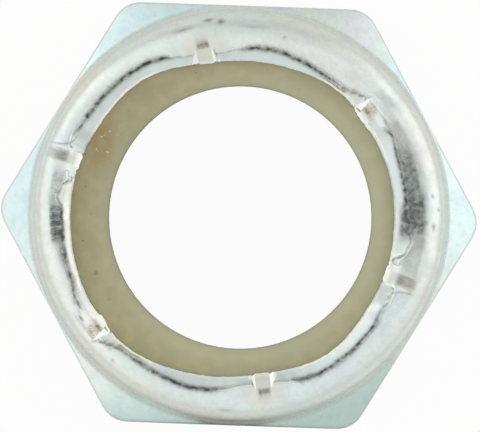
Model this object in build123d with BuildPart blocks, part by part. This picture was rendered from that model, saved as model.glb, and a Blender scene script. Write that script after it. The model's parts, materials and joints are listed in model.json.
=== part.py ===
from build123d import *
from math import atan2, cos, pi, radians, sin, tan
import os

# Nylon insert lock nut for a 3/4-16 thread, in millimetres.
# The origin is the centre of the bearing face. +Z runs up the bore towards the insert, two
# corners of the hexagon lie on the X axis, and two of its flats face along the Y axis.

# Hexagon
across_flats = 27.0            # spanner size
overall_height = 22.2          # bearing face to the crown of the collar
corner_round = 1.8             # radius along the six upright edges
chamfer_angle = 30.0           # of both ends, from the end face
bearing_margin = 0.75          # flat in to the bearing ring, along a flat's middle

# Thread, which is left as its minor bore
thread_major_diameter = 19.05
thread_height = 0.775          # root at the major diameter in to the crest at the bore
countersink_margin = 0.5       # mouth of the countersink beyond the major radius
countersink_angle = 90.0       # included angle

# Collar: a thin wall, one with the hexagon, that is rolled in over the insert
collar_height = 5.6            # its root on the hexagon up to the crown
collar_ledge = 0.2             # flat in to the foot of the collar, along a flat's middle
collar_wall = 1.5              # thickness round the insert
crown_inset = 1.7              # foot of the collar in to the crown
lean_outside = 2.6             # crown down to where the outside starts to lean in
shoulder_inset = 0.25          # foot of the collar in to the shoulder, where the lean turns to a roll
shoulder_drop = 1.2            # crown down to the shoulder
roll_bands = 8                 # conical bands that make up the roll

# Lip: the wall's end, which leans in over the insert
lip_inset = 1.3                # crown in to the lip's edge
lip_drop = 0.85                # crown down to the lip's edge
lean_inside = 1.15             # lip's edge down to where the inside starts to lean in
lens_count = 6                 # lens-shaped ledges coined into the lip, one between two stakes
lens_spread = 52.0             # angle that one lens covers
lens_width = 0.85              # lip's edge out to the lens's back wall, at its middle
lens_depth = 0.32              # crown down to the foot of the back wall
lens_slope = 22.0              # fall of the ledge towards the bore
lens_wall_draft = 0.15         # how far the back wall leans back over its depth

# The crimping die sat a little off the thread's axis, so the crown and the lip do too.
crimp_offset = 0.48
crimp_direction = 206.4        # from +X

# Stakes: blade marks pressed into the lip, one between each two lenses
stake_start = 41.6             # angle of the first, from +X
stake_floor_width = 0.95
stake_mouth_width = 1.85
stake_depth = 0.5              # crown down to the outer end of the floor
stake_bite = 0.18              # lip's edge down to the inner end of the floor
stake_reach = 0.75             # lip's edge out to the end wall
stake_end_draft = 0.2          # how far the end wall leans back over its depth
scar_depth = 0.25              # flat that the blade's back left in the crown, beyond the end wall
stake_push = 0.12              # how far the blade pushed the lip's edge in
stake_metal = 0.45             # thickness of the metal left under the floor
stake_ear = 0.3                # height of the pushed metal beside the floor

# Insert
insert_grip = 0.33             # thread's bore in to the insert's, so that the bolt cuts its way in
insert_height = 4.85           # seat to the open top
insert_edge_bevel = 0.45       # on both ends of its bore

# Sizes that follow
hex_corner_radius = across_flats / 2 / cos(pi / 6)
bearing_radius = across_flats / 2 - bearing_margin
hex_height = overall_height - collar_height
minor_radius = thread_major_diameter / 2 - thread_height
insert_bore_radius = minor_radius - insert_grip
mouth_radius = thread_major_diameter / 2 + countersink_margin
countersink_depth = (mouth_radius - minor_radius) / tan(radians(countersink_angle / 2))
collar_radius = across_flats / 2 - collar_ledge
pocket_radius = collar_radius - collar_wall
crown_radius = collar_radius - crown_inset
lip_radius = crown_radius - lip_inset
lip_height = overall_height - lip_drop
shoulder_radius = collar_radius - shoulder_inset
shoulder_height = overall_height - shoulder_drop
outside_lean_start = overall_height - lean_outside
inside_lean_start = lip_height - lean_inside
seat_height = lip_height - insert_height
pitch_angle = 360 / lens_count
crimp_centre = Vector(crimp_offset, 0, 0).rotate(Axis.Z, crimp_direction)
clear_of_metal = 1.0           # how far a cutting solid stands out of what it cuts


def leaning_centre(height):
    """Centre of the collar's outline at a height: it moves off towards the crimping die's axis."""
    share = (height - outside_lean_start) / lean_outside
    return crimp_centre.X * share, crimp_centre.Y * share


# Space for the insert: a round seat, closed in at its top by the leaning wall. The wall's mouth
# follows the crimping die.
with BuildPart() as insert_space:
    with BuildSketch(Plane.XY.offset(seat_height)):
        Circle(pocket_radius)
    extrude(amount=inside_lean_start - seat_height)
    with BuildSketch(Plane.XY.offset(inside_lean_start)):
        Circle(pocket_radius)
    with BuildSketch(Plane.XY.offset(lip_height)):
        with Locations((crimp_centre.X, crimp_centre.Y)):
            Circle(lip_radius)
    loft(ruled=True)

# The lens, throat and stake solids stand on the crimping die's own axis, with one lens or stake
# along +X.

# One lens: a shallow dish whose own axis lies part of the way out to the lens, so that its back
# wall is furthest out at the lens's middle and meets the lip's edge at both ends.
lens_reach = lip_radius + lens_width
lens_end_across = lip_radius * cos(radians(lens_spread / 2))
lens_centre = (lens_reach**2 - lip_radius**2) / (2 * (lens_reach - lens_end_across))
dish_radius = lens_reach - lens_centre
dish_foot = overall_height - lens_depth
draft_above = lens_wall_draft * clear_of_metal / lens_depth
with BuildPart() as lens_cut:
    with BuildSketch(Plane.XZ):
        with BuildLine():
            Polyline(
                (0, dish_foot - dish_radius * tan(radians(lens_slope))),
                (dish_radius, dish_foot),
                (dish_radius + lens_wall_draft + draft_above, overall_height + clear_of_metal),
                (0, overall_height + clear_of_metal),
                close=True,
            )
        make_face()
    revolve(axis=Axis.Z)

# Throat: the rounded inner side of the roll, from the crown down to the lip's edge.
with BuildPart() as throat_cut:
    with BuildSketch(Plane.XZ):
        with BuildLine():
            Polyline(
                (crown_radius, overall_height),
                (crown_radius, overall_height + clear_of_metal),
                (0, overall_height + clear_of_metal),
                (0, lip_height),
                (lip_radius, lip_height),
            )
            EllipticalCenterArc(
                (crown_radius, lip_height), lip_inset, lip_drop, start_angle=90, arc_size=90
            )
        make_face()
    revolve(axis=Axis.Z)

# One stake: a notch with a flat sloping floor, and the metal that the blade pushed in and down
# over the insert.
floor_slope = atan2(lip_drop + stake_bite - stake_depth, stake_reach)
floor_plane = Plane(
    origin=(lip_radius, 0, lip_height - stake_bite),
    x_dir=(cos(floor_slope), 0, sin(floor_slope)),
    z_dir=(-sin(floor_slope), 0, cos(floor_slope)),
)
floor_length = stake_reach / cos(floor_slope)
side_draft = (stake_mouth_width - stake_floor_width) / stake_depth
with BuildPart() as stake_cut:
    for height in (0, clear_of_metal):
        outer_end = floor_length + stake_end_draft * height / stake_depth
        with BuildSketch(floor_plane.offset(height)):
            with Locations(((outer_end - clear_of_metal) / 2, 0)):
                Rectangle(outer_end + clear_of_metal, stake_floor_width + side_draft * height)
    loft(ruled=True)
    scar_plane = Plane.XY.offset(overall_height - scar_depth)
    scar_length = collar_radius - lip_radius
    for height in (0, clear_of_metal):
        with BuildSketch(scar_plane.offset(height)):
            with Locations((lip_radius + stake_reach + scar_length / 2, 0)):
                Rectangle(scar_length, stake_floor_width + side_draft * height)
    loft(ruled=True)
with BuildPart() as stake_bulge:
    for height, width in ((-stake_metal, stake_floor_width), (stake_ear, stake_mouth_width)):
        with BuildSketch(floor_plane.offset(height)):
            with Locations(((floor_length - stake_push) / 2, 0)):
                Rectangle(floor_length + stake_push, width)
    loft(ruled=True)

with BuildPart() as nut_body:
    # hexagon with rounded upright edges
    with BuildSketch():
        RegularPolygon(across_flats / 2, 6, major_radius=False)
        fillet(vertices(), corner_round)
    extrude(amount=hex_height)
    # both ends turned to a cone: the lower one leaves the round bearing face, and the upper one
    # starts at the foot of the collar
    with BuildSketch(Plane.XZ):
        with BuildLine():
            chamfer_slope = tan(radians(chamfer_angle))
            Polyline(
                (0, 0),
                (bearing_radius, 0),
                (hex_corner_radius, (hex_corner_radius - bearing_radius) * chamfer_slope),
                (hex_corner_radius, hex_height - (hex_corner_radius - collar_radius) * chamfer_slope),
                (collar_radius, hex_height),
                (0, hex_height),
                close=True,
            )
        make_face()
    revolve(axis=Axis.Z, mode=Mode.INTERSECT)
    # collar, from half way up the hexagon so that the two are one: straight, then leaning in to
    # its shoulder, then rolled over to the crown
    with BuildSketch(Plane.XY.offset(hex_height / 2)):
        Circle(collar_radius)
    extrude(amount=outside_lean_start - hex_height / 2)
    for radius, height in (
        (collar_radius, outside_lean_start),
        (shoulder_radius, shoulder_height),
    ):
        with BuildSketch(Plane.XY.offset(height)):
            with Locations(leaning_centre(height)):
                Circle(radius)
    loft(ruled=True)
    for number in range(roll_bands + 1):
        turn = pi / 2 * number / roll_bands
        height = shoulder_height + shoulder_drop * sin(turn)
        with BuildSketch(Plane.XY.offset(height)):
            with Locations(leaning_centre(height)):
                Circle(crown_radius + (shoulder_radius - crown_radius) * cos(turn))
    loft(ruled=True)
    # inside: the insert's seat, the bore and its countersink
    add(insert_space.part, mode=Mode.SUBTRACT)
    with BuildSketch():
        Circle(minor_radius)
    extrude(amount=overall_height, mode=Mode.SUBTRACT)
    with BuildSketch():
        Circle(mouth_radius)
    with BuildSketch(Plane.XY.offset(countersink_depth)):
        Circle(minor_radius)
    loft(ruled=True, mode=Mode.SUBTRACT)
    # crimped rim
    with Locations((crimp_centre.X, crimp_centre.Y)):
        add(throat_cut.part, mode=Mode.SUBTRACT)
        with PolarLocations(lens_centre, lens_count, stake_start + pitch_angle / 2):
            add(lens_cut.part, mode=Mode.SUBTRACT)
        with PolarLocations(0, lens_count, stake_start):
            add(stake_bulge.part)
        with PolarLocations(0, lens_count, stake_start):
            add(stake_cut.part, mode=Mode.SUBTRACT)

with BuildPart() as nylon_insert:
    add(insert_space.part)
    with BuildSketch(Plane.XY.offset(seat_height)):
        Circle(insert_bore_radius)
    extrude(amount=insert_height, mode=Mode.SUBTRACT)
    bore_wall = faces().filter_by(GeomType.CYLINDER).sort_by(lambda face: face.radius)[0]
    chamfer(bore_wall.edges().filter_by(GeomType.CIRCLE), insert_edge_bevel)
    with Locations((crimp_centre.X, crimp_centre.Y)):
        with PolarLocations(0, lens_count, stake_start):
            add(stake_bulge.part, mode=Mode.SUBTRACT)

os.makedirs("parts", exist_ok=True)
nut_body.part.label = "nut_body"
export_step(nut_body.part, "parts/nut_body.step")
nylon_insert.part.label = "nylon_insert"
export_step(nylon_insert.part, "parts/nylon_insert.step")
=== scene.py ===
import json
from functools import partial
from math import cos, pi, radians, sin, tan

import bpy
import numpy as np
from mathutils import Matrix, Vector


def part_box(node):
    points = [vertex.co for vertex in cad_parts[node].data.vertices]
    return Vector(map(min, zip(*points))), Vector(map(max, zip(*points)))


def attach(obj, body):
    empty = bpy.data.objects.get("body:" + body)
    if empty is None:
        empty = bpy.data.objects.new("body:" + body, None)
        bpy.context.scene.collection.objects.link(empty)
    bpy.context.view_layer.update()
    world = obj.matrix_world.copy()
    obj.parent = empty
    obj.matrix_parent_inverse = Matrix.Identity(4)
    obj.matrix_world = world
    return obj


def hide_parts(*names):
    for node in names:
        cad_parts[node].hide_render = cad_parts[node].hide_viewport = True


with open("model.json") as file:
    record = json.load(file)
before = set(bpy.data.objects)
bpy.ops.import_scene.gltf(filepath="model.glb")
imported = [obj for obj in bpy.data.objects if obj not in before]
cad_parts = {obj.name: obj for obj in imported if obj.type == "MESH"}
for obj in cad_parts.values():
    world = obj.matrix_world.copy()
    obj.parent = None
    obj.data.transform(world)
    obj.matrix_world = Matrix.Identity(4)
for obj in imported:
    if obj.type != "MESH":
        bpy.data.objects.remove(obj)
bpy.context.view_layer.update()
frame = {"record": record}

# Looks for a nylon insert lock nut: zinc plated steel, its collar rolled in over a ring of natural
# nylon and staked in six places. Lengths are in millimetres until a mesh is written, angles in
# degrees until they are used, and heights are measured from the bearing face.

MM = 0.001


# ---- sizes taken from the frame

def corners_mm(node):
    """Lowest and highest corner of a CAD node, in millimetres."""
    low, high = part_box(node)
    return np.array(low) / MM, np.array(high) / MM


mounts = {mount["name"]: mount for mount in frame["record"]["mounts"]}
_, nut_high = corners_mm("nut_body")
ring_low, ring_high = corners_mm("nylon_insert")
flat_distance = nut_high[1]  # axis to a flat
crown_height = nut_high[2]
minor_radius = mounts["thread"]["dims"]["r_mm"]
ring_bore = mounts["insert_bore"]["dims"]["r_mm"]
pocket_radius = ring_high[0]
seat_height = ring_low[2]
lip_height = ring_high[2]

# ---- sizes of the visible form

# hexagon
corner_round = 1.8
chamfer_rise = tan(radians(30))
bearing_radius = flat_distance - 0.75
foot_radius = flat_distance - 0.08  # collar's foot on the upper chamfer
hex_height = crown_height - 5.6
edge_softness = 0.16  # rolled-over edges, corner to tangent point
foot_softness = 0.3

# A stretch of the nut's turn is its middle, half spread and softness in degrees. The near flat's
# upper edge is worn, most where its chamfer is narrow, and the die's step is missing above it.
worn_stretch = (270.0, 28.0, 4.0)
worn_depth = 0.5
worn_chamfer = 0.1  # narrowest chamfer that is worn to the full depth
worn_fade = 0.3  # how fast the wear fades with a chamfer's width
worn_rounding = 1.2  # how much rounder it is worn
plain_stretch = (270.0, 20.0, 12.0)

# thread: 16 turns to the inch, to a major diameter of 3/4 inch
pitch = 25.4 / 16
major_radius = 19.05 / 2
root_flat = pitch / 8
flank_run = (major_radius - minor_radius) * tan(radians(30))
root_relief = 0.02  # how much deeper the root is in its middle
mouth_radius = major_radius + 0.5
countersink_height = mouth_radius - minor_radius

# collar: a wall with a small step where the crimping die stopped, which leans in above it and turns
# into the roll; the roll's top runs almost level to the rim
step_height = 19.3
step_slope = 65.0
step_radius = 13.22  # inner edge of the step
step_softness = 0.06
collar_draft = 0.03  # foot of the collar in to the step's outer edge
shoulder_radius = 13.2
shoulder_centre = (0.07, 0.03)
shoulder_tilt = 82.0
roll_mean = 12.0  # the roll's mean distance from the axis
roll_radius = 1.72
roll_lobes = ((1, -0.14, 0.0), (2, -0.58, 0.0), (3, -0.22, 28.0))  # count, height, angle
wide_roll = 0.44  # how much broader the roll is on the right
wide_stretch = (19.0, 21.0, 14.0)
least_tilt = 0.5  # of the roll's top where it was pressed level
level_stretches = ((12.0, 20.0, 9.0), (190.0, 12.0, 9.0))
top_tilt = 8.0  # how much steeper it is elsewhere
rim_softness = 0.07
rim_clearance = 0.06  # least distance from the rim to the roll's arc

# lip, about the crimping die's axis
die_centre = (-0.422, -0.221)
die_turn = 41.6  # angle of its first blade
lip_radius = 10.392
lip_lobes = (
    (2, 0.103, 13.1), (3, 0.010, -46.4), (4, 0.163, -44.4), (5, 0.026, 2.2), (6, 0.061, 1.2),
    (8, 0.030, -7.8), (9, 0.013, 15.0), (10, 0.031, 16.8),
)
lip_base = lip_height - 0.3  # foot of the lip's inner face
lean_inside = 1.15  # lip down to where the pocket's wall starts to lean
lip_softness = 0.04
burr_width = 0.12  # rolled-over edge of the lip, almost level
burr_slope = 6.0
burr_lobes = ((37, 0.006, 10.0), (61, 0.007, 4.0), (97, 0.006, 1.0), (149, 0.005, 2.0), (211, 0.004, 0.5))

# lens-shaped ledges, coined into the lip between the stakes
ledge_slope = 27.0
ledge_fall_run = 0.8  # the width over which it falls at most
least_ledge = 0.08  # its least width
least_fall = 0.02
ledge_softness = 0.05
ledge_wall_height = 0.25  # foot of the back wall up to the rim
ledge_wall_run = 0.3
rim_least = 10.75  # the rim's smallest radius, where it is at full height
crease_radii = (  # the die's own angle, and its axis out to the back wall
    (-12.0, 11.26), (-4.0, 11.20), (0.5, 11.24), (3.0, 11.52), (5.0, 11.32), (7.5, 11.10),
    (10.5, 10.96), (19.0, 10.92), (28.0, 11.01), (36.0, 11.10), (42.0, 11.03), (48.0, 10.83),
    (54.0, 10.60), (60.0, 10.58), (66.0, 10.76), (70.0, 10.94), (74.0, 11.18), (80.0, 11.34),
    (93.0, 11.36), (101.0, 11.32), (109.0, 11.34), (112.5, 11.50), (115.0, 11.42), (119.0, 11.00),
    (126.0, 10.85), (129.5, 11.30), (133.0, 11.50), (137.0, 11.15), (142.0, 10.85), (150.0, 10.94),
    (160.0, 10.97),
)
# stretches where one side alone lies further out or in: middle, half spread, softness, shift
crease_shifts = ((14.5, 14.5, 6.0, 0.25), (175.5, 4.5, 3.0, -0.22), (330.5, 3.5, 3.0, -0.15))

# stakes: the angle of each, its kind, and how much deeper than the mean it was struck
stakes = (
    (41.4, "skewed", 0.02), (104.4, "square", 0.0), (163.5, "dragged", -0.02),
    (219.4, "skewed", 0.03), (279.3, "square", 0.0), (340.7, "dragged", 0.0),
)
stake_centre = (0.135, -0.054)  # where their lines cross
straight_push = 0.05  # how far a straight blade pushed the lip in
straight_reach = 0.4  # half its width
torn_back = 0.07  # how far the lip tore back beside it
torn_aside = 0.58
skewed_push = 0.18  # the push of a slanted one
skewed_reach = 0.75
skewed_burr = 1.5  # how much more ragged it left the burr

# patches that the die left on the roll, with streaks where it dragged and smearing where it rubbed, and
# partly a painted
# # reflection of the dark gap overhead: middle, half spread and softness in degrees, inner and outer radius
# and softness, strength
galls_and_dark_reflections = (
    (184.3, 3.6, 4.2, 11.40, 12.02, 0.18, 1.0), (197.0, 9.0, 5.0, 11.32, 11.54, 0.16, 0.42),
    (174.4, 4.5, 3.0, 11.6, 12.1, 0.2, 0.42),
)
smears_and_dark_reflections = (
    (2.6, 3.0, 8.0, 10.95, 11.72, 0.4, 1.0), (-0.5, 2.5, 6.0, 10.5, 11.1, 0.35, 0.95),
    (14.0, 5.0, 11.0, 11.0, 11.62, 0.3, 0.8), (24.0, 9.0, 9.0, 11.1, 11.75, 0.3, 0.2),
    (40.5, 2.2, 2.5, 11.8, 12.2, 0.2, 0.25), (-11.0, 5.0, 4.0, 11.0, 11.9, 0.2, 0.3),
)

# painted shade in the crease, stronger in stretches by the die's own angle: middle, half spread, strength
crease_shade_stretches = (
    (88.0, 14.0, 1.0), (104.0, 4.0, 0.5), (32.0, 12.0, 1.0), (15.0, 6.0, 0.75),
    (158.5, 10.0, 0.8), (144.0, 6.0, 0.8), (113.0, 3.0, 0.25),
)
crease_shade_softness = 6.0
crease_mean = lip_radius + 0.6  # the crease's usual distance from that axis
crease_line = 0.07  # half the width of the crease's painted dark line where it is weakest
crease_shade_width = 0.16  # and what the strongest painted shade adds to it
least_crease_shade = 0.3

# painted highlight along the lip: middle, half spread and softness in degrees, width, strength
lip_highlights = (
    (137.0, 13.0, 6.0, 0.13, 1.0), (314.0, 17.0, 8.0, 0.14, 1.0), (206.0, 34.0, 6.0, 0.42, 0.8),
    (42.0, 16.0, 6.0, 0.22, 0.9), (349.0, 9.0, 8.0, 0.13, 1.0),
)
mark_softness = 0.05  # of the edges of the lip's painted highlight and of the ledge

# dings on the roll: angle, radius, length round the nut, width, depth
dings = (
    (100.9, 12.66, 0.30, 0.09, 0.05), (97.3, 12.46, 0.20, 0.12, 0.06), (108.6, 12.42, 0.55, 0.09, 0.035),
    (87.6, 12.15, 0.90, 0.10, 0.02), (77.7, 11.76, 0.09, 0.07, 0.04), (7.7, 12.45, 0.14, 0.09, 0.04),
    (3.6, 12.80, 0.10, 0.08, 0.04), (-1.5, 12.48, 0.22, 0.12, 0.04), (-0.2, 11.95, 0.10, 0.10, 0.05),
    (34.5, 11.15, 0.20, 0.07, 0.04), (215.0, 12.05, 0.20, 0.06, 0.05), (231.0, 12.3, 0.12, 0.09, 0.03),
    (268.0, 12.5, 0.5, 0.10, 0.02),
)

# nylon ring, which was pressed in a little off the thread's axis
bore_centre = (0.093, -0.124)
ring_clearance = 0.01
dish = 0.05  # fall of the ring's top towards the lip
bore_round_width = 0.95  # broad round at the bore's top
bore_round_drop = 0.7
seat_round = 0.4

columns = 960  # section planes; away from the rim one in three is used
crowding = 3.0  # how much closer they stand at a stake
crowding_width = 6.0
sharp_angle = 40  # between faces, from which an edge is drawn sharp


# ---- mesh helpers

def column_angles():
    """Angles of the section planes: each takes an equal share of a density that is one plus a bell
    round every stake, so the planes crowd where the metal changes within a few degrees."""
    fine = np.linspace(0, 2 * pi, 7201)
    density = np.ones_like(fine)
    for angle, _, _ in stakes:
        gap = (fine - radians(angle) + pi) % (2 * pi) - pi
        density += crowding * np.exp(-(gap / radians(crowding_width)) ** 2)
    total = np.concatenate(([0], np.cumsum((density[1:] + density[:-1]) / 2)))
    return np.interp(np.arange(columns) / columns * total[-1], total, fine)


theta = column_angles()
cos_theta = np.cos(theta)
sin_theta = np.sin(theta)


def level(value):
    """The same value on every section plane."""
    return np.full(columns, float(value))


def lobes(terms):
    """Sum of cosines round the nut, each with its own count, height and angle."""
    return sum(height * np.cos(count * (theta - radians(angle))) for count, height, angle in terms)


def circle(centre, radius):
    """Distance from the nut's axis out to a circle about another centre, on each plane."""
    along = centre[0] * cos_theta + centre[1] * sin_theta
    across = centre[1] * cos_theta - centre[0] * sin_theta
    return along + np.sqrt(radius ** 2 - across ** 2)


def about_die(radius_at):
    """Distance from the nut's axis out to a curve that is given by the crimping die's own angle, and
    that angle on each plane. Each pass starts from the distance that the last one found."""
    distance = level(lip_radius)
    for _ in range(5):
        x = distance * cos_theta - die_centre[0]
        y = distance * sin_theta - die_centre[1]
        turn = np.degrees(np.arctan2(y, x)) - die_turn
        distance = circle(die_centre, radius_at(turn))
    return distance, turn


def hexagon():
    """Distance to a hexagon with rounded corners: the flat's distance over the cosine of the angle
    from its middle, and near a corner the far root of the corner's own circle."""
    turn = (theta + pi / 6) % (pi / 3) - pi / 6
    from_corner = np.abs(turn)
    from_flat = pi / 6 - from_corner
    straight = flat_distance / np.cos(from_flat)
    centre = (flat_distance - corner_round) / cos(pi / 6)
    reach = np.sqrt(np.maximum(corner_round ** 2 - (centre * np.sin(from_corner)) ** 2, 0))
    rounded = centre * np.cos(from_corner) + reach
    return np.where(straight * np.sin(from_flat) > centre * sin(pi / 6), rounded, straight)


def row(radius, height):
    """One ring of points: radius and height on each plane."""
    return np.stack((level(0) + radius, level(0) + height))


def bend(before, corner, after, reach, steps):
    """Rows of a rounded corner: a quadratic curve from `reach` before it to `reach` after it."""
    into = before - corner
    out = after - corner
    start = corner + into * (reach / np.linalg.norm(into, axis=0))
    end = corner + out * (reach / np.linalg.norm(out, axis=0))
    shares = np.linspace(0, 1, steps)
    return [(1 - t) ** 2 * start + 2 * t * (1 - t) * corner + t ** 2 * end for t in shares]


def between(start, end, steps):
    """Rows strictly between two rows, evenly spaced."""
    return [start + (end - start) * t for t in np.linspace(0, 1, steps + 2)[1:-1]]


def smoothed(values, reach):
    """Running mean along the planes, over `reach` planes on both sides, which fades with distance."""
    weights = np.hanning(2 * reach + 3)[1:-1]
    wrapped = np.concatenate((values[-reach:], values, values[:reach]))
    return np.convolve(wrapped, weights / weights.sum(), "valid")


def smooth_step(value, low, high):
    """Goes from 0 at low to 1 at high along 3t^2 - 2t^3. low may be the greater."""
    t = np.clip((value - low) / (high - low), 0, 1)
    return t * t * (3 - 2 * t)


def bell(value, width):
    """One at zero, falling on both sides along e^-(value/width)^2."""
    return np.exp(-(value / width) ** 2)


def lower_of(first, second, soft):
    """The lower of two heights, rounded off where they cross."""
    return (first + second - np.hypot(first - second, soft)) / 2


def angle_gap(direction, angle):
    """Signed angle in degrees from an angle to each direction in degrees, within half a turn."""
    return (direction - angle + 180) % 360 - 180


def window(value, low, high, soft):
    """One between low and high, falling smoothly to zero over `soft` beyond them."""
    return smooth_step(value, low - soft, low) * smooth_step(value, high + soft, high)


def facing(middle, spread, soft):
    """One on the planes of a stretch of the nut's turn, falling smoothly to zero beyond it."""
    return window(angle_gap(np.degrees(theta), middle), -spread, spread, soft)


def along_angle(direction, pairs, period):
    """Value at each direction in degrees, eased from one (angle, value) pair to the next, and
    repeated after a period."""
    angles = np.array([angle for angle, _ in pairs] + [pairs[0][0] + period])
    values = np.array([value for _, value in pairs] + [pairs[0][1]])
    turned = (direction - angles[0]) % period + angles[0]
    place = np.clip(np.searchsorted(angles, turned, side="right") - 1, 0, len(pairs) - 1)
    share = smooth_step(turned, angles[place], angles[place + 1])
    return values[place] + (values[place + 1] - values[place]) * share


def closed_mesh(name, points, fields, fine):
    """Mesh of a section swept round the axis. points is rows x columns x 3 in millimetres and joins
    up both ways; fields are values for each point. Rows in `fine` use every column and the others
    one in three, and rows that coincide are welded."""
    rows = points.shape[0]
    index = np.arange(rows * columns).reshape(rows, columns)
    right = np.roll(index, -1, axis=1)
    coarse = index[:, ::3]
    coarse_right = np.roll(coarse, -1, axis=1)

    def side(number):
        """Points along one side of the faces of a band, left to right."""
        passed = (index[number, 1::3], index[number, 2::3]) if number in fine else ()
        return coarse[number], *passed, coarse_right[number]

    polygons = []
    for low in range(rows):
        high = (low + 1) % rows
        if low in fine and high in fine:
            corners = (index[low], right[low], right[high], index[high])
        else:
            corners = (*side(low), *reversed(side(high)))
        polygons.append(np.stack(corners, axis=-1))

    flat = points.reshape(-1, 3)
    _, first, merged = np.unique(np.round(flat, 5), axis=0, return_index=True, return_inverse=True)
    merged = merged.reshape(-1)
    faces = []
    for group in polygons:
        group = merged[group]
        distinct = group != np.roll(group, 1, axis=1)
        faces += [face[keep] for face, keep in zip(group, distinct) if keep.sum() > 2]
    used, compact = np.unique(np.concatenate(faces), return_inverse=True)
    ends = np.cumsum([len(face) for face in faces])[:-1]
    faces = [face.tolist() for face in np.split(compact.reshape(-1), ends)]
    kept = first[used]

    mesh = bpy.data.meshes.new(name)
    mesh.from_pydata(flat[kept] * MM, [], faces)
    for field, values in fields.items():
        values = values.reshape(rows * columns, -1)[kept]
        kind, key = ("FLOAT_VECTOR", "vector") if values.shape[1] == 3 else ("FLOAT", "value")
        mesh.attributes.new(field, kind, "POINT").data.foreach_set(key, values.ravel())
    mesh.shade_smooth()
    mesh.set_sharp_from_angle(angle=radians(sharp_angle))
    mesh.update()
    piece = bpy.data.objects.new(name, mesh)
    bpy.context.scene.collection.objects.link(piece)
    return piece


def solid_of(section):
    """Points of a section: radius and height on each plane, turned round the nut's axis."""
    radius, height = section[:, 0], section[:, 1]
    return np.stack((radius * cos_theta, radius * sin_theta, height), axis=-1)


# ---- nut body

def thread_rows():
    """Rows of the internal thread, from the pocket's seat down to the countersink. Row k follows one
    corner of the thread form, which climbs one pitch in a turn. Beyond either end it is held at the
    end's height, where its radius is that of the thread form there, and the weld joins such rows.
    The lower end lies inside the countersink, whose cone cuts the thread off."""
    lowest = countersink_height * 0.35
    crest_half = pitch / 2 - root_flat / 2 - flank_run
    corners = (-crest_half, crest_half, pitch / 2 - root_flat / 2, pitch / 2, pitch / 2 + root_flat / 2)
    form_at = (0, crest_half, crest_half + flank_run, pitch / 2)
    form_radius = (minor_radius, minor_radius, major_radius - root_relief, major_radius)
    climb = pitch * theta / (2 * pi)
    # two turns beyond each end, so that the climb never uncovers it
    first = int(countersink_height // pitch) - 2
    last = int(seat_height // pitch) + 2
    rows = []
    for turn in range(last, first, -1):
        for corner in reversed(corners):
            height = np.clip(turn * pitch + corner + climb, lowest, seat_height)
            phase = (height - climb + pitch / 2) % pitch - pitch / 2
            radius = np.interp(np.abs(phase), form_at, form_radius)
            rows.append(row(np.maximum(radius, mouth_radius - height), height))
    return rows


def stake_place(x, y, angle):
    """Place in one stake's own frame: distance along its line, and sideways towards higher angles."""
    direction = radians(angle)
    along = (x - stake_centre[0]) * cos(direction) + (y - stake_centre[1]) * sin(direction)
    aside = (y - stake_centre[1]) * cos(direction) - (x - stake_centre[0]) * sin(direction)
    return along, aside


def lip_edge():
    """Distance from the axis to the lip's edge: a circle with lobes and a ragged burr, pushed in by
    each blade and, where that struck straight, torn back a little on both sides of it."""
    lip = circle(die_centre, lip_radius + lobes(lip_lobes))
    burr = lobes(burr_lobes)
    for angle, kind, _ in stakes:
        along, aside = stake_place(lip * cos_theta, lip * sin_theta, angle)
        if kind == "skewed":
            burr *= 1 + np.where(along > 0, skewed_burr * bell(aside, 1.3), 0)
            moved = -skewed_push * bell(aside + 0.1, skewed_reach)
        else:
            push = straight_push * window(aside, -straight_reach, straight_reach, 0.1)
            moved = torn_back * bell(np.abs(aside) - torn_aside, 0.07) - push
        lip += np.where(along > 0, moved, 0)
    return lip + burr


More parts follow.
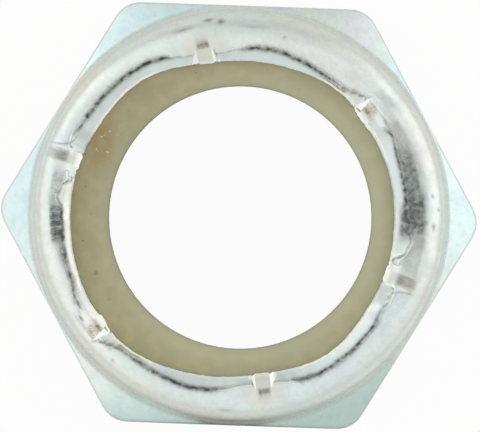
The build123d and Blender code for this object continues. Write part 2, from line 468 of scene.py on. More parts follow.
def crimped_rows(lip):
    """Rows of the collar from its shoulder over the roll and down to the lip, with the lens-shaped
    ledges but without the stakes. The roll is an arc that ends at a small tilt and runs on at that
    tilt to the rim; the ledge is a cone, and the lip's own edge is almost level. Returns the rows
    and the numbers of the rim's row and of the ledge's first."""
    roll_rows, top_rows, wall_rows, ledge_rows = 22, 13, 2, 9
    flatness = sum(facing(*stretch) for stretch in level_stretches)
    start = np.radians(top_tilt * (1 - flatness) + least_tilt)
    radius = roll_radius + lobes(roll_lobes) + wide_roll * facing(*wide_stretch)
    shoulder = circle(shoulder_centre, shoulder_radius)
    roll_centre = shoulder - radius * sin(radians(shoulder_tilt))
    crease, _ = about_die(lambda turn: along_angle(turn, crease_radii, 180.0))
    crease = crease + sum(shift * facing(*stretch) for *stretch, shift in crease_shifts)
    foot = np.maximum(crease - ledge_wall_run / 2, lip + burr_width + least_ledge)
    rim = foot + ledge_wall_run
    top_end = roll_centre + radius * np.sin(start)
    top_height = crown_height - (top_end - rim_least) * np.tan(start)

    def arc_tilt(distance):
        return np.arcsin(np.clip((distance - roll_centre) / radius, -1, 1))

    def arc_row(tilt):
        return row(roll_centre + radius * np.sin(tilt), top_height - radius * (np.cos(start) - np.cos(tilt)))

    # where the crease reaches out beyond the roll's level part, the rim lies on the arc
    last_tilt = np.maximum(start, arc_tilt(rim + rim_clearance))
    on_arc = arc_row(arc_tilt(rim))[1]
    rim_height = np.where(rim > top_end, on_arc, crown_height - (rim - rim_least) * np.tan(start))
    ledge_run = foot - lip - burr_width
    ledge_fall = np.minimum(ledge_run, ledge_fall_run) * tan(radians(ledge_slope))
    planes_evened = 36  # to both sides
    burr_top = smoothed(rim_height - ledge_wall_height - ledge_fall, planes_evened)
    foot_height = np.maximum(rim_height - ledge_wall_height, burr_top + least_fall)
    edge = row(rim, rim_height)
    wall_foot = row(foot, foot_height)
    burr_row = row(lip + burr_width, burr_top)
    lip_row = row(lip, burr_top - burr_width * tan(radians(burr_slope)))
    top_row = arc_row(last_tilt)
    rim_bend = bend(top_row, edge, wall_foot, np.minimum(rim_softness, (top_row[0] - rim) / 2), 5)
    foot_bend = bend(edge, wall_foot, burr_row, np.minimum(ledge_softness, ledge_run / 3), 3)
    burr_bend = bend(wall_foot, burr_row, lip_row, np.minimum(lip_softness, ledge_run / 3), 3)

    first_tilt = radians(shoulder_tilt)
    rows = [arc_row(first_tilt + (last_tilt - first_tilt) * t) for t in np.linspace(0, 1, roll_rows)]
    rows += between(top_row, rim_bend[0], top_rows)
    rim_row = len(rows)
    rows += [*rim_bend, *between(rim_bend[-1], foot_bend[0], wall_rows)]
    ledge_row = len(rows)
    rows += [*foot_bend, *between(foot_bend[-1], burr_bend[0], ledge_rows), *burr_bend]
    rows.append(lip_row)
    return rows, rim_row, ledge_row


def square_stake(out, aside, base, lip_top):
    """A clean notch: the flat floor rises outwards to a short end wall; one side is a broad facet
    that narrows outwards and the other two narrow ones. Returns the notch's surface, its share of
    the place, and the shares of warm tint, of dark marks and painted shade, and of painted highlight."""
    low, high, reach = -0.41, 0.51, 0.97  # the blade's two sides and its outer end
    bite, floor_angle = 0.13, 24
    facet_angle, facet_width, facet_length = 27, 0.48, 1.1
    narrow_facets = ((0, 0.15, 0.20, 0.6), (0, 0.09, 0.03, 0.28))  # run and rise
    narrow_width = 0.38
    ear = 0.12  # how far the sides may stand above the roll
    floor = lip_top - bite + np.clip(out, -0.3, 1.3) * tan(radians(floor_angle))
    taper = np.clip(1 - out / facet_length, 0, 1)
    sides = np.maximum(aside - high, 0) * tan(radians(facet_angle))
    sides = sides + np.interp(np.maximum(low - aside, 0), *narrow_facets)
    end = smooth_step(out, reach - 0.02, reach + 0.4)
    surface = np.minimum(floor + sides, base + ear * taper)
    surface = surface + (base - surface) * end
    within = window(aside, low - narrow_width * taper - 0.01, high + facet_width * taper + 0.01, 0.05)
    place = within * smooth_step(out, reach + 0.42, reach + 0.38)

    across = window(aside, low, high, 0.05)
    scar = window(aside, low + 0.1, high - 0.1, 0.3) * window(out - reach, 0.35, 0.8, 0.4)
    halo = window(aside, -0.9, 0.9, 0.9) * window(out, 0.9, 1.6, 0.5)
    cut_line = bell(aside - low + 0.28 - 0.08 * out, 0.035) * smooth_step(out, 0.95, 0.8)
    # painted shadow at the notch's outer end
    darkened = 0.62 * window(out - reach, 0.12, 0.28, 0.2) + 0.25 * window(out - reach, 0.3, 0.5, 0.3)
    darkened = darkened * window(aside, low + 0.18, high - 0.18, 0.22)
    # painted highlights on the side facets and the tip, and faintly on the scar and halo
    facets = (1 - across) * within * smooth_step(out, 1.1, 0.9)
    tip = across * smooth_step(out, 0.4, 0.05)
    cleared = np.maximum(facets, 0.5 * tip) * (1 - cut_line)
    warm = np.maximum.reduce((0.7 * across * (1 - end), 0.8 * scar, 0.45 * halo))
    soot = np.maximum(darkened, 0.4 * cut_line)
    bare = np.maximum.reduce((cleared, 0.25 * scar, 0.125 * halo * (1 - across)))
    return surface, place, warm, soot, bare


def dragged_stake(out, aside, base, lip_top):
    """A long shallow notch whose floor is darker outwards between two bands of painted highlight, and
    a fine dark tear that runs from its far end round to the crease. Returns the same values."""
    low, high = -0.53, 0.28
    bite, floor_rise, floor_bow = 0.12, 0.675, 0.2
    scrape = 0.06  # least depth along the notch
    steep_angle, shallow_angle = 28, 16
    run = np.clip(out, -0.3, 1.6)
    floor = lower_of(lip_top - bite + run * (floor_rise - floor_bow * run), base - scrape, 0.1)
    sides = np.maximum(aside - high, 0) * tan(radians(shallow_angle))
    sides = sides + np.maximum(low - aside, 0) * tan(radians(steep_angle))
    surface = np.minimum(floor + sides, base)
    place = window(aside, low - 0.16, high + 0.42, 0.05) * smooth_step(out, 2.1, 1.4)

    across = window(aside, low, high, 0.1)
    darkened = 0.42 * window(out, 1.2, 1.9, 0.45) + 0.2 * window(out, 0.7, 1.2, 0.4)
    darkened = darkened * window(aside, low + 0.32, high - 0.22, 0.32)
    # the tear's line bends off exponentially, and the distance from it is taken square to it
    bend_off = 1.1 * np.exp((aside + 0.72) / 0.2)
    from_tear = (out - 0.75 - bend_off) / np.hypot(1, bend_off / 0.2)
    tear = bell(from_tear, 0.065) * window(aside, -1.5, -0.68, 0.12) * smooth_step(out, 2.4, 1.8)
    # painted shade beside the notch
    shaded = window(aside, -1.9, -0.85, 0.3) * smooth_step(out, 1.05, 0.7)
    broad_band = window(aside, 0.34, 0.56, 0.1) * smooth_step(out, 2.4, 1.7)
    thin_band = window(aside, -0.66, -0.54, 0.07) * smooth_step(out, 1.9, 1.3)
    tip = across * smooth_step(out, 0.5, 0.1)
    warm = np.maximum(0.5 * across * window(out, 0.2, 1.8, 0.5), 0.3 * broad_band)
    soot = np.maximum.reduce((darkened, 0.55 * tear, 0.22 * shaded))
    # painted highlights on the two bands and at the lip end
    bare = np.maximum.reduce((0.3 * broad_band, 0.4 * thin_band, tip))
    return surface, place, warm, soot, bare


def skewed_stake(out, aside, base, lip_top):
    """The blade struck at a slant and left an almost level triangular facet, painted bright as a
    highlight. The floor is deepest against it and comes up to nothing on the other side, where the
    metal fans out; its deepest part and the metal beside the stake get painted shade. Returns the
    same values."""
    bite, floor_angle = 0.18, 29
    facet_lift, facet_angle, facet_lean = 0.1, 17, 20
    foot = 0.293 + 0.16 * out  # the facet's two sides, which meet outwards
    ridge = 0.83 - 0.16 * out
    rise = lip_top + out * tan(radians(floor_angle))
    rise = rise + (base - rise) * smooth_step(out, 1.1, 1.4)
    slant = (np.clip(aside, -0.5, foot) + 0.5) / 0.9
    floor = rise - bite * slant * (1 - smooth_step(out, 0.5, 1.1))
    facet = lip_top + facet_lift + out * tan(radians(facet_angle))
    facet = facet - (aside - foot) * tan(radians(facet_lean))
    along_facet = smooth_step(out, 0.22, 0.36) * smooth_step(out, 1.44, 1.36)
    on_facet = window(aside, foot, ridge, 0.04) * along_facet
    surface = floor + (facet - floor) * on_facet
    place = smooth_step(aside, ridge + 0.05, ridge) * smooth_step(-aside, 1.7, 1.0)

    beside = (1 - on_facet) * smooth_step(aside, foot + 0.02, foot - 0.03)
    hub_out, hub_aside = 0.44, 0.34  # the rays of the fan start from here
    fan = np.arctan2(out - hub_out, hub_aside - aside)
    reach = np.hypot(out - hub_out, hub_aside - aside)
    rays = 0.5 + 0.5 * np.sin(19 * fan + 2.5 * np.sin(7 * fan))
    fanned = window(reach, 0.2, 0.78, 0.3) * window(fan, 0.05, 1.5, 0.25) * beside
    # painted shade in the deepest part of the floor, beside the facet
    pit = bell(aside - 0.05, 0.27) * bell(out - 0.62, 0.16) * beside
    pull_line = 0.78 + 0.62 * np.exp((0.6 - aside) / 0.45)
    pull = bell(out - pull_line, 0.12) * window(aside, 0.66, 1.7, 0.12)
    # painted shade beside the stake
    shaded = window(aside, -1.7, -0.75, 0.4) * smooth_step(out, 0.95, 0.6)
    warm = fanned * (0.45 + 0.55 * rays)
    soot = np.maximum.reduce((0.95 * pit, 0.5 * fanned * (1 - rays), 0.4 * pull, 0.1 * shaded))
    return surface, place, warm, soot, on_facet


def press_stakes(points, lip, lip_top):
    """Presses a notch of its own kind at each stake. Returns the new points and, for each point, the
    share of a notch, the warm tint of polished metal, the dark marks with painted shade and the painted
    highlight there."""
    kinds = {"square": square_stake, "dragged": dragged_stake, "skewed": skewed_stake}
    x, y, z = np.moveaxis(points, -1, 0)
    totals = np.zeros((4, *z.shape))
    for angle, kind, extra in stakes:
        plane = np.argmin(np.abs(angle_gap(np.degrees(theta), angle)))
        along, aside = stake_place(x, y, angle)
        lip_along, _ = stake_place(lip[plane] * cos_theta[plane], lip[plane] * sin_theta[plane], angle)
        out = along - lip_along
        near = along > 0
        surface, place, *stains = kinds[kind](out, aside, z, lip_top[plane] - extra)
        z = z + np.where(near, (surface - z) * place, 0)
        totals += np.where(near, np.stack((place, *stains)), 0)
    return np.stack((x, y, z), axis=-1), *totals


def press_dings(points):
    """Small dents in the roll: each takes a bell of its depth, long round the nut, out of the
    height. Returns the new points and the depth taken at each."""
    x, y, z = np.moveaxis(points, -1, 0)
    taken = np.zeros_like(z)
    for angle, radius, length, width, depth in dings:
        direction = radians(angle)
        out = x * cos(direction) + y * sin(direction) - radius
        side = y * cos(direction) - x * sin(direction)
        taken += depth * bell(out, width) * bell(side, length)
    return np.stack((x, y, z - taken), axis=-1), taken


def outside_rows(shoulder):
    """Rows of the outside from inside the countersink's mouth up to the shoulder, and which of them
    lie on the upper chamfer. Each edge is a bend between the straight parts on its two sides. On the
    near side the flat's upper edge is lowered and rounder, as far as the chamfer has room for it,
    and both corners of the die's step move onto the straight line from the foot to the shoulder."""
    worn = facing(*worn_stretch)
    plain = facing(*plain_stretch)
    outline = hexagon()
    width = outline - foot_radius  # of the upper chamfer
    worn_drop = worn_depth * worn * np.minimum(width / worn_chamfer, 1) * bell(width, worn_fade)
    mouth = row(mouth_radius, 0)
    bearing_edge = row(bearing_radius, 0)
    lower_edge = row(outline, (outline - bearing_radius) * chamfer_rise)
    upper_edge = row(outline, hex_height - width * chamfer_rise - worn_drop)
    foot = row(foot_radius, hex_height)
    collar_radius = foot_radius - collar_draft
    step_rise = (collar_radius - shoulder[0]) * tan(radians(step_slope))
    step_outer = row(collar_radius, step_height)
    step_inner = row(shoulder[0] + step_radius - shoulder_radius, step_height + step_rise)
    step_outer = step_outer + (foot + (shoulder - foot) * 0.6 - step_outer) * plain
    step_inner = step_inner + (foot + (shoulder - foot) * 0.8 - step_inner) * plain
    room = 0.6 * np.hypot(*(upper_edge - foot))
    upper_softness = np.minimum(edge_softness * (1 + worn_rounding * worn), room)

    rows = [
        *bend(row(mouth_radius - 0.5, 0.5), mouth, bearing_edge, 0.1, 3),
        *bend(mouth, bearing_edge, lower_edge, 0.3, 5),
        *bend(bearing_edge, lower_edge, upper_edge, edge_softness, 4),
        *between(lower_edge, upper_edge, 3),
        *bend(lower_edge, upper_edge, foot, upper_softness, 5),
    ]
    chamfer_first = len(rows) - 3
    rows += bend(upper_edge, foot, step_outer, np.minimum(foot_softness, 0.7 * width), 6)
    chamfer = slice(chamfer_first, len(rows) - 3)
    rows += bend(foot, step_outer, step_inner, step_softness, 3)
    rows += bend(step_outer, step_inner, shoulder, step_softness, 3)
    return rows, chamfer


def die_marks(radius, run, lip, struck, rim_row, ledge_row):
    """The die's marks on the rows of the roll and lip, as shares for each point. Galling and smearing is
    the greatest of its patches, each a window round the nut times one across it, and is partly a
    painted reflection of the dark gap overhead. A painted highlight is a band along the lip. The
    crease's painted shade is a bell along the run, broader where it is stronger, and the ledge is all
    that lies beyond it."""
    patches = {
        name: np.maximum.reduce([
            strength * facing(*stretch) * window(radius, inner, outer, edge)
            for *stretch, inner, outer, edge, strength in table
        ])
        for name, table in (("galled", galls_and_dark_reflections), ("smeared", smears_and_dark_reflections))
    }
    # painted highlight in a band along the lip
    worn = np.maximum.reduce([
        strength * facing(*stretch) * smooth_step(radius - lip, width + mark_softness, width)
        for *stretch, width, strength in lip_highlights
    ])
    _, die_angle = about_die(lambda turn: crease_mean)
    # painted shade in the crease, stronger in the listed stretches
    crease_shade = np.clip(sum(
        strength * window(angle_gap(2 * die_angle, 2 * middle) / 2, -spread, spread, crease_shade_softness)
        for middle, spread, strength in crease_shade_stretches
    ), 0, 1)
    ledge_start = run[ledge_row]
    in_crease = bell(run - (run[rim_row + 2] + ledge_start) / 2, crease_line + crease_shade_width * crease_shade)
    crease = np.maximum(crease_shade, least_crease_shade) * in_crease * (1 - struck)
    ledge = smooth_step(run, ledge_start - mark_softness, ledge_start + mark_softness)
    return patches | {"worn": worn, "crease": crease, "ledge": ledge}


def make_nut_body():
    """The steel body as one closed mesh. Its section's rows run up the outside, over the roll to the
    lip, and down through the pocket and the thread. The stakes and dings are pressed into the top,
    and the lip's edge under them goes down with it."""
    lip = lip_edge()
    crimped, rim_row, ledge_row = crimped_rows(lip)
    outside, chamfer = outside_rows(crimped[0])
    lip_top = crimped[-1]
    lip_foot = row(lip, lip_base)
    lip_round = bend(crimped[-2], lip_top, lip_foot, lip_softness, 3)[1:]
    inside = [
        lip_foot,
        row(pocket_radius, lip_height - lean_inside),
        row(pocket_radius, seat_height),
        row(pocket_radius - 1, seat_height),
        *thread_rows(),
    ]
    section = np.stack([*outside, *crimped, *lip_round, *inside])
    first = len(outside)
    last = first + len(crimped)
    top = slice(first, last)
    rounded = range(last, last + len(lip_round))

    points = solid_of(section)
    before = points[last - 1, :, 2].copy()
    points[top], struck, warm, soot, bare = press_stakes(points[top], lip, lip_top[1])
    points[top], dinged = press_dings(points[top])
    sunk = points[last - 1, :, 2] - before
    for number in rounded:
        share = np.clip((section[number, 1] - lip_base) / (lip_top[1] - lip_base), 0, 1)
        points[number, :, 2] += sunk * share

    # the run is the length along the section, measured from the rim
    steps = np.hypot(*(section[1:] - section[:-1]).transpose(1, 0, 2))
    run = np.concatenate((np.zeros((1, columns)), np.cumsum(steps, axis=0)))
    run = run - run[first + rim_row]
    marks = {"warm": warm, "soot": soot, "bare": bare, "dinged": dinged}
    marks |= die_marks(section[top, 0], run[top], lip, struck, rim_row, ledge_row)
    fields = {name: np.zeros(run.shape) for name in ("chamfer", *marks)}
    fields["chamfer"][chamfer] = 1
    for name, values in marks.items():
        fields[name][top] = values
    # `lay` goes round the nut at the roll's mean radius, and along the run
    round_nut = (roll_mean * part + 0 * run for part in (cos_theta, sin_theta))
    fields["lay"] = np.stack((*round_nut, run), axis=-1)
    return closed_mesh("steel_body", points, fields, range(first - 1, rounded.stop))


# ---- nylon insert

def make_nylon_insert():
    """The nylon ring as one closed mesh: it fills the pocket under the lip, its top rises a little
    from the lip to a broad round into the bore, and the bore's lower edge has a smaller one."""
    lip = lip_edge() - ring_clearance
    outer_radius = pocket_radius - ring_clearance
    bore = circle(bore_centre, ring_bore)
    top = lip_height + dish
    under_lip = row(lip, lip_height)
    seat_outer = row(outer_radius, seat_height + ring_clearance)
    bore_top = row(bore, top - bore_round_drop)
    bore_base = row(bore, seat_height)
    outside = [
        seat_outer,
        row(outer_radius, lip_height - lean_inside),
        row(lip, lip_base - ring_clearance),
    ]
    upper = [under_lip, *between(under_lip, row(bore + bore_round_width, top), 8)]
    curve = [
        row(bore + bore_round_width * (1 - cos(t)), top - bore_round_drop * (1 - sin(t)))
        for t in np.linspace(0, pi / 2, 12)
    ]
    section = np.stack([
        *outside,
        *upper,
        *reversed(curve),
        *between(bore_top, bore_base, 2),
        *bend(bore_top, bore_base, seat_outer, seat_round, 5),
    ])
    fine = range(len(outside), len(outside) + len(upper) + 1)
    return closed_mesh("nylon_ring", solid_of(section), {"depth": section[:, 0] - bore}, fine)


# ---- material helpers

def linear(code):
    """sRGB hex colour as linear RGBA."""
    parts = [int(code[i:i + 2], 16) / 255 for i in (1, 3, 5)]
    return [c / 12.92 if c <= 0.04045 else ((c + 0.055) / 1.055) ** 2.4 for c in parts] + [1.0]


def add_node(tree, kind, inputs=(), output=0, stops=(), **settings):
    """Adds a node and gives one of its outputs. Inputs are in the node's own order, or go by number
    or name, and each is a value, a hex colour or the output that feeds it. Stops are the places and
    hex colours of a colour ramp, and settings are the node's other properties."""
    node = tree.nodes.new("ShaderNode" + kind)
    for name, value in settings.items():
        setattr(node, name, value)
    for name, value in (inputs if isinstance(inputs, dict) else dict(enumerate(inputs))).items():
        if isinstance(value, bpy.types.NodeSocket):
            tree.links.new(value, node.inputs[name])
        else:
            node.inputs[name].default_value = linear(value) if isinstance(value, str) else value
    if stops:
        elements = node.color_ramp.elements
        while len(elements) < len(stops):
            elements.new(0.5)
        for element, (place, colour) in zip(elements, stops):
            element.position = place
            element.color = linear(colour)
    return node.outputs[output]


def object_place(tree):
    """Object coordinates in millimetres."""
    place = add_node(tree, "TexCoord", output="Object")
    return add_node(tree, "VectorMath", {0: place, "Scale": 1 / MM}, operation="SCALE")


def far_from(tree, centre, size):
    """Distance from a centre, in shares of a size along X and Y, both in millimetres."""
    away = add_node(tree, "VectorMath", (object_place(tree), (*centre, 0)), operation="SUBTRACT")
    shares = (1 / size[0], 1 / size[1], 0)
    scaled = add_node(tree, "VectorMath", (away, shares), operation="MULTIPLY")
    return add_node(tree, "VectorMath", (scaled,), "Value", operation="LENGTH")


def new_material(name):
    """Empty node material with its Principled shader."""
    material = bpy.data.materials.new(name)
    material.use_nodes = True
    tree = material.node_tree
    return material, tree, tree.nodes["Principled BSDF"]


# ---- materials

def zinc_plate():
    """Clear zinc plating on cold-formed steel: a bright metal under a thin clear passivate, which
    gives it faint blue, green and pink tints. It is satin where it follows the formed steel,
    streaked where the crimping die dragged over it and marked where the staking blades struck.
    Light is painted into its colour too: highlights along the lip and on the stakes, shade on the
    chamfer's near side, the ledge, the crease, the dents and in and beside the stakes, and in the
    die's patches on the roll partly a reflection of the dark gap overhead."""
    material, tree, shader = new_material("zinc_plated_steel")
    add = partial(add_node, tree)
    place = object_place(tree)
    lay = add("Attribute", output="Vector", attribute_name="lay")
    warm, soot, bare, worn, dinged, chamfer, galled, smeared, crease, ledge = (
        add("Attribute", output="Fac", attribute_name=name)
        for name in "warm soot bare worn dinged chamfer galled smeared crease ledge".split()
    )

    # patterns: what each follows and how it is squeezed, the millimetres across a lump, and detail.
    # The die's drag and wisps lie across the roll and its rub round it; drawn are the upright lines
    # of the drawn hexagon.
    even = (1, 1, 1)
    film, film_chamfer, film_fine, blotch, mottle, drag, rub, wisp, drawn, grit = (
        add("TexNoise", {
            "Vector": add("VectorMath", (source, squeeze), operation="MULTIPLY"),
            "Scale": 1 / lump,
            "Detail": detail,
        }, "Fac")
        for source, squeeze, lump, detail in (
            (place, even, 6.0, 2), (place, even, 5.0, 1), (place, even, 1.8, 3),
            (lay, even, 0.35, 5), (place, even, 1.1, 4), (lay, (1, 1, 0.3), 0.11, 3),
            (lay, (0.5, 0.5, 1), 0.14, 3), (lay, (1, 1, 0.35), 0.16, 2),
            (place, (1, 1, 0.05), 0.22, 3), (place, even, 0.3, 3),
        )
    )

    # the plating's own tints, which are stronger on the chamfer; towards the chamfer's near side they are
    # painted duller and greener, a painted shade
    plate = add("ValToRGB", (film,), stops=(
        (0.34, "#EAF6F8"), (0.48, "#EEF5F2"), (0.58, "#F1F4EF"), (0.70, "#F1F0F3"),
    ))
    pearl = add("ValToRGB", (film_chamfer,), stops=(
        (0.36, "#DDF4FA"), (0.50, "#E2F7F8"), (0.60, "#EBF9F3"), (0.70, "#EFF3FA"),
    ))
    tints = add("ValToRGB", (film_fine,), stops=((0.36, "#E2F3EC"), (0.5, "#F2F4F1"), (0.64, "#F0E6F1")))
    x, y = (add("SeparateXYZ", (place,), axis) for axis in "XY")
    # painted shade: the chamfer is duller and greener towards the near side
    nearness = add("Math", (x, -0.25, y), operation="MULTIPLY_ADD")
    near_side_shade = add("MapRange", (nearness, -8.0, -15.0, 0.0, 0.8), interpolation_type="SMOOTHSTEP")
    pearl = add("Mix", {0: near_side_shade, 6: pearl, 7: "#B2CBC3"}, 2, data_type="RGBA")
    colour = add("Mix", {0: chamfer, 6: plate, 7: pearl}, 2, data_type="RGBA")
    colour = add("Mix", {0: 0.15, 6: colour, 7: tints}, 2, data_type="RGBA")

    # stains: where each lies, the pattern that breaks it up with its contrast, the mean strength and
    #     # the colour. Several paint light: the ledge, crease, dents and stake hollows get painted shade,
    #     the
    #     # lip and stakes painted highlights, and the roll's patches partly a painted reflection overhead
    clouds = add("Math", (blotch, mottle), operation="ADD")
    grey = add("MapRange", (clouds, 0.84, 1.24, 0.0, 0.13), interpolation_type="SMOOTHSTEP")
    streaks = add("Mix", {0: 0.45, 2: drag, 3: blotch})
    rubbed = add("Mix", {0: 0.7, 2: rub, 3: blotch})
    # painted shade in the dents, darker where they are deeper
    dented = add("Math", (add("Math", (dinged, 18.0), operation="MULTIPLY"), 0.75), operation="MINIMUM")
    for share, pattern, contrast, strength, stain in (
        (grey, 0.5, 0.0, 1.0, "#A8A8A2"),
        # painted shade on the recessed ledge
        (ledge, 0.5, 0.0, 0.7, "#D8E0E0"),
        (warm, 0.5, 0.0, 0.75, "#DDD5C1"),
        # painted highlights on the stakes' facets, bands and tips
        (bare, 0.5, 0.0, 1.0, "#FBFBF7"),
        # painted highlight along parts of the lip
        (worn, blotch, 2.5, 0.85, "#FAF9EE"),
        # galling and smearing, partly a painted reflection of the dark gap overhead
        (smeared, rubbed, 1.8, 0.88, "#70756F"),
        (galled, streaks, 2.6, 0.86, "#6E7371"),
        # painted shade in the crease
        (crease, blotch, 1.7, 0.85, "#4C5053"),
        # dark tears and lines at the stakes, with painted shade in and beside them
        (soot, wisp, 1.5, 0.8, "#5E5548"),
        (dented, 0.5, 0.0, 1.0, "#8C8A85"),
    ):
        centred = add("Math", (pattern, 0.5), operation="SUBTRACT")
        broken = add("Math", (centred, contrast, strength), operation="MULTIPLY_ADD")
        amount = add("Math", (share, broken), operation="MULTIPLY", use_clamp=True)
        colour = add("Mix", {0: amount, 6: colour, 7: stain}, 2, data_type="RGBA")
    tree.links.new(colour, shader.inputs["Base Color"])
    shader.inputs["Metallic"].default_value = 1.0

    satin = add("MapRange", (mottle, 0.3, 0.7, 0.24, 0.34), interpolation_type="SMOOTHSTEP")
    rough = add("Math", (warm, 0.08, satin), operation="MULTIPLY_ADD")
    tree.links.new(rough, shader.inputs["Roughness"])

    marks = add("Math", (drag, blotch), operation="ADD")
    marked = add("Math", (galled, smeared), operation="MAXIMUM")
    height = 0.0
    for pattern, strength in ((grit, 0.35), (mottle, 0.5), (drawn, 0.25), (marks, marked)):
        height = add("Math", (pattern, strength, height), operation="MULTIPLY_ADD")
    bump = add("Bump", {"Height": height, "Strength": 0.5, "Distance": 0.03 * MM}, "Normal")
    tree.links.new(bump, shader.inputs["Normal"])
    return material


def natural_nylon():
    """Unfilled nylon 6/6, moulded: cream to olive, translucent, with a soft waxy sheen. Its colour is
    painted paler at the bore, standing in for light coming through from below, and darker towards
    the lip, a painted shade under it.
    """
    material, tree, shader = new_material("natural_nylon")
    add = partial(add_node, tree)
    place = object_place(tree)
    depth = add("Attribute", output="Fac", attribute_name="depth")
    ring_width = 2.6  # at its widest, bore to lip
    # painted light and shade across the ring: paler by the bore, lit through from below, and darker towards
    # the lip, in its shade
    colour = add("ValToRGB", (add("Math", (depth, ring_width), operation="DIVIDE"),), stops=(
        (0.0, "#C9C6A9"), (0.12, "#B6B395"), (0.45, "#ACA886"), (0.72, "#A8A27C"), (1.0, "#A29A73"),
    ))

    # millimetres across a lump, and detail
    cloud, grain, speck = (
        add("TexNoise", {"Vector": place, "Scale": 1 / lump, "Detail": detail}, "Fac")
        for lump, detail in ((0.9, 4), (0.26, 0), (0.42, 0))
    )
    toward_left, stained, clouded, grained, specked, misted = (
        add("MapRange", limits, interpolation_type="SMOOTHSTEP") for limits in (
            (far_from(tree, (-9.0, 4.5), (14.0, 14.0)), 1.2, 0.1),
            (far_from(tree, (-9.1, 4.5), (1.4, 2.6)), 1.1, 0.2, 0.0, 0.65),
            (cloud, 0.36, 0.62),
            (grain, 0.72, 0.78),
            (speck, 0.80, 0.83, 0.0, 0.7),
            (cloud, 0.40, 0.66, 0.0, 0.12),
        )
    )
    # a side darker towards the left, an amber oil stain with pale grains in it, a few dark specks on that
    # side, and a light mist
    for where, share, stain in (
        (toward_left, 0.34, "#8C8058"),
        (stained, clouded, "#96642E"),
        (stained, grained, "#E9DCB8"),
        (toward_left, specked, "#5C5034"),
        (misted, 1.0, "#D8D0A8"),
    ):
        amount = add("Math", (where, share), operation="MULTIPLY")
        colour = add("Mix", {0: amount, 6: colour, 7: stain}, 2, data_type="RGBA")
    tree.links.new(colour, shader.inputs["Base Color"])
    shader.inputs["Roughness"].default_value = 0.45
    shader.inputs["IOR"].default_value = 1.53
    return material


# ---- stage, camera and light

def make_floor():
    """Pale paper just under the bearing face, clear from below. Seen directly it is near white and takes a
    little of the nut's shadow. Metal shows it as it is lit, with a faint glow, and with shade painted
    on it: a painted shadow in a patch out from the nearest flat, out of view, which gives the edges
    facing it some depth, a warmer painted shade on the far side, and a little painted shade from 50
    to 110 mm away."""
    half = 0.6
    drop = 0.02 * MM
    camera_glow = 0.96
    mirror_glow = 0.2
    corners = [(x * half, y * half, -drop) for x, y in ((-1, -1), (1, -1), (1, 1), (-1, 1))]
    mesh = bpy.data.meshes.new("floor")
    mesh.from_pydata(corners, [], [(0, 1, 2, 3)])
    floor = bpy.data.objects.new("floor", mesh)
    bpy.context.scene.collection.objects.link(floor)

    material, tree, shader = new_material("floor_paper")
    add = partial(add_node, tree)
    from_shadow_patch = far_from(tree, (0, -23), (22, 36))
    open_glow, far_side, distant = (
        add("MapRange", limits, interpolation_type="SMOOTHSTEP") for limits in (
            (from_shadow_patch, 1.2, 0.2, mirror_glow, 0.0),
            (far_from(tree, (0, 42), (45, 42)), 1.3, 0.4, 0.0, 0.5),
            (far_from(tree, (0, 0), (100, 100)), 0.5, 1.1, 0.0, 0.25),
        )
    )
    # painted shadow of the nut, darkest close to the near flat and fading outwards
    paper = add("ValToRGB", (add("Math", (from_shadow_patch, 0.5), operation="MULTIPLY"),), stops=(
        (0.0, "#66645D"), (0.04, "#7D7B74"), (0.09, "#A9A79E"), (0.15, "#BFBDB5"), (0.22, "#CBC9C2"),
        (0.5, "#D6D4CF"), (0.9, "#F2F0EC"),
    ))
    # painted shade: a warmer one on the far side, and a little more from 50 to 110 mm away
    for share, tint in ((far_side, "#C9C4B4"), (distant, "#8F8D85")):
        paper = add("Mix", {0: share, 6: paper, 7: tint}, 2, data_type="RGBA")
    tree.links.new(paper, shader.inputs["Base Color"])
    shader.inputs["Roughness"].default_value = 0.9

    seen, mirrored = (add("LightPath", output=f"Is {kind} Ray") for kind in ("Camera", "Glossy"))
    seen_glow = add("Math", (seen, camera_glow), operation="MULTIPLY")
    glow_share = add("Math", (mirrored, open_glow, seen_glow), operation="MULTIPLY_ADD")
    glow = add("Emission", {"Color": "#FFFFFF", "Strength": 1.0})
    lit = add("MixShader", (glow_share, shader.outputs["BSDF"], glow))
    below = add("NewGeometry", output="Backfacing")
    sided = add("MixShader", (below, lit, add("BsdfTransparent")))
    tree.links.new(sided, tree.nodes["Material Output"].inputs["Surface"])
    mesh.materials.append(material)


def make_camera():
    """Looks straight down from far off, so that the bore's walls stay hidden, turned by the nut's own
    turn in the view and moved so that the nut stands where it should in a 480 x 432 frame."""
    view_width_px = 480
    across_flats_px = 420.2
    nut_from_middle_px = (-1.1, 0.4)
    turn = radians(2.0)
    distance = 1.3
    scale = 2 * flat_distance * MM / across_flats_px
    dx, dy = (-offset * scale for offset in nut_from_middle_px)
    data = bpy.data.cameras.new("camera")
    data.sensor_width = 36.0
    data.lens = data.sensor_width * distance / (view_width_px * scale)
    data.clip_end = 10.0
    camera = bpy.data.objects.new("camera", data)
    camera.location = (
        dx * cos(turn) - dy * sin(turn),
        dx * sin(turn) + dy * cos(turn),
        hex_height * MM + distance,
    )
    camera.rotation_euler = (0, 0, turn)
    bpy.context.scene.collection.objects.link(camera)
    bpy.context.scene.camera = camera


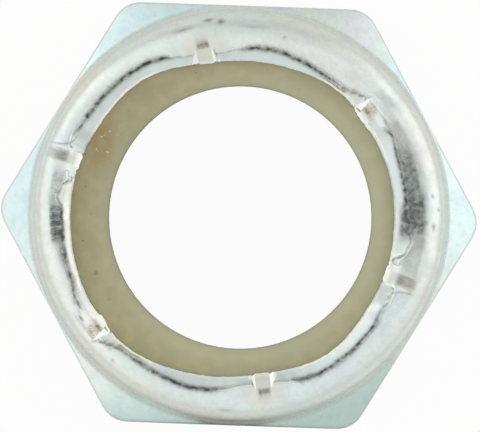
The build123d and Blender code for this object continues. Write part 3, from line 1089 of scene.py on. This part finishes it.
def make_light():
    """A pale tent, bright down to the horizon at both ends of its long axis and greyer low down at
    its two sides, with a narrow dark gap overhead along that axis. It is a little brighter at the
    right end and in a patch at the far left, and dimmer at the near right. The camera sees plain
    white."""
    tent_turn = radians(4)
    gap_darkness = 0.8
    patch_direction = (-0.48, 0.72, 0.5)
    world = bpy.data.worlds.new("tent")
    bpy.context.scene.world = world
    world.use_nodes = True
    tree = world.node_tree
    add = partial(add_node, tree)
    direction = add("TexCoord", output="Generated")
    turned = add("VectorRotate", {"Vector": direction, "Angle": -tent_turn}, rotation_type="Z_AXIS")
    x, y, z = (add("SeparateXYZ", (turned,), axis) for axis in "XYZ")
    rise = add("Math", (z, 0.5, 0.5), operation="MULTIPLY_ADD")
    # each ramp goes from straight down to straight up
    far_side, near_side, ends = (
        add("ValToRGB", (rise,), stops=stops) for stops in (
            ((0.30, "#AFADA6"), (0.48, "#C9C8C2"), (0.74, "#D6D9D5"), (0.86, "#DEE1DE"),
             (0.95, "#F0F3F1"), (1.0, "#EEF0EF")),
            ((0.30, "#8A8880"), (0.46, "#BDBBB2"), (0.52, "#E0E1DB"), (0.70, "#EAEDEA"),
             (0.86, "#ECEFED"), (1.0, "#EEF0EF")),
            ((0.30, "#B5B2AA"), (0.46, "#DAD6C9"), (0.52, "#F4F1E6"), (0.62, "#FFFFFC"),
             (0.85, "#FFFFFF"), (1.0, "#EEF0EF")),
        )
    )
    along, side = (add("Math", (part,), operation="ABSOLUTE") for part in (x, y))
    towards_patch = add("VectorMath", (turned, patch_direction), "Value", operation="DOT_PRODUCT")
    to_far, to_end, in_middle, over_middle, to_right, to_near, in_patch = (
        add("MapRange", limits, interpolation_type="SMOOTHSTEP") for limits in (
            (y, -0.3, 0.3),
            (along, 0.35, 0.75),
            (side, 0.11, 0.03),
            (along, 0.42, 0.22),
            (x, 0.2, 0.8),
            (y, -0.15, -0.5),
            (towards_patch, 0.86, 0.98),
        )
    )
    sides = add("Mix", {0: to_far, 6: near_side, 7: far_side}, 2, data_type="RGBA")
    sky = add("Mix", {0: to_end, 6: sides, 7: ends}, 2, data_type="RGBA")
    above = add("Math", (z, 0.0), operation="GREATER_THAN")
    gap = gap_darkness
    for share in (in_middle, over_middle, above):
        gap = add("Math", (gap, share), operation="MULTIPLY")
    lit = add("Mix", {0: gap, 6: sky, 7: "#404444"}, 2, data_type="RGBA")
    seen = add("LightPath", output="Is Camera Ray")
    background = tree.nodes["Background"]
    colour = add("Mix", {0: seen, 6: lit, 7: "#FFFFFF"}, 2, data_type="RGBA")
    tree.links.new(colour, background.inputs["Color"])

    unseen = add("Math", (1.0, seen), operation="SUBTRACT")
    near_right = add("Math", (to_right, to_near), operation="MULTIPLY")
    extra = 0.0
    for where, strength in ((to_right, 0.1), (near_right, -0.3), (in_patch, 0.3)):
        extra = add("Math", (where, strength, extra), operation="MULTIPLY_ADD")
    strength = add("Math", (extra, unseen, 1.0), operation="MULTIPLY_ADD")
    tree.links.new(strength, background.inputs["Strength"])


# ---- assembly

bpy.context.scene.view_settings.view_transform = "Standard"

steel = make_nut_body()
steel.data.materials.append(zinc_plate())
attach(steel, "root")
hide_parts("nut_body")

ring = make_nylon_insert()
ring.data.materials.append(natural_nylon())
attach(ring, "root")
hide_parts("nylon_insert")

make_floor()
make_camera()
make_light()
